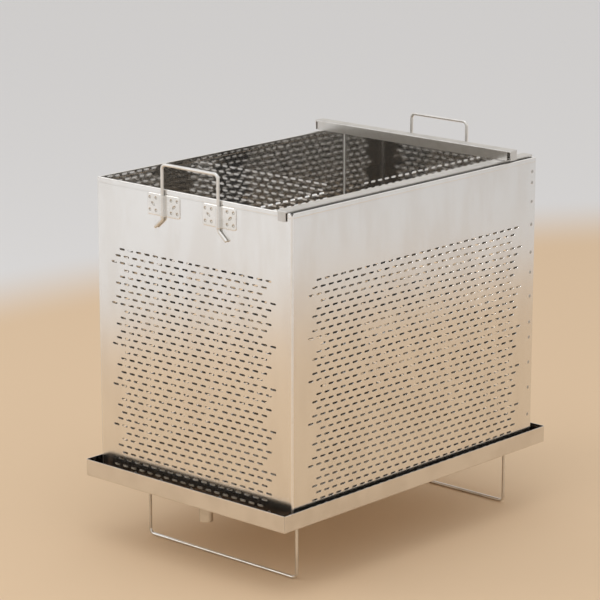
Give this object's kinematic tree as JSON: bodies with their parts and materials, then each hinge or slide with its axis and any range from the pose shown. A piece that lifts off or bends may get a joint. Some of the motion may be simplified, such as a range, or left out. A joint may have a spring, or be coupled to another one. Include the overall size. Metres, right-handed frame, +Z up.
{
  "type": "steam wax melter",
  "caption": "Perforated steel comb basket on corner feet in a shallow drip tray with a drain spout and wire legs, with sliding wire handles and two folded rails across its rim.",
  "frame": {"origin": "on the floor, under the middle of the tray", "axes": "+X along the tray away from the drain, +Y from the front long wall to the back one, +Z up"},
  "size_m": [0.492, 0.332, 0.4893],
  "materials": {
    "tray_sheet": "bright rolled stainless sheet",
    "spout_tube": "drawn stainless tube",
    "basket_sheet": "fine satin stainless sheet, bright on the inside",
    "pressed_bracket": "pressed stainless sheet, satin",
    "rail_sheet": "folded stainless sheet, satin",
    "bent_wire": "bright drawn stainless wire"
  },
  "bodies": {
    "tray": {"tray_pan": "tray_sheet", "drain_spout": "spout_tube", "drain_end_leg": "bent_wire", "far_end_leg": "bent_wire"},
    "basket": {"drain_end_wall": "basket_sheet", "far_end_wall": "basket_sheet", "front_wall": "basket_sheet", "back_wall": "basket_sheet", "front_seam_flange": "basket_sheet", "back_seam_flange": "basket_sheet", "basket_floor": "basket_sheet", "drain_end_front_bracket": "pressed_bracket", "drain_end_back_bracket": "pressed_bracket", "far_end_front_bracket": "pressed_bracket", "far_end_back_bracket": "pressed_bracket"},
    "drain_end_handle": {"drain_end_handle": "bent_wire"},
    "far_end_handle": {"far_end_handle": "bent_wire"},
    "long_rail": {"long_rail": "rail_sheet"},
    "short_rail": {"short_rail": "rail_sheet"}
  },
  "joints": [
    {"name": "basket_lift", "type": "slide", "parent": "tray", "child": "basket", "axis": [0, 0, 1], "range_m": [0, 0.063]},
    {"name": "drain_end_handle_slide", "type": "slide", "parent": "basket", "child": "drain_end_handle", "axis": [0, 0, 1], "range_m": [-0.03, 0]},
    {"name": "far_end_handle_slide", "type": "slide", "parent": "basket", "child": "far_end_handle", "axis": [0, 0, 1], "range_m": [-0.03, 0]},
    {"name": "long_rail_lift", "type": "slide", "parent": "basket", "child": "long_rail", "axis": [0, 0, 1], "range_m": [0, 0.08]},
    {"name": "short_rail_lift", "type": "slide", "parent": "long_rail", "child": "short_rail", "axis": [0, 0, 1], "range_m": [0, 0.006]}
  ]
}
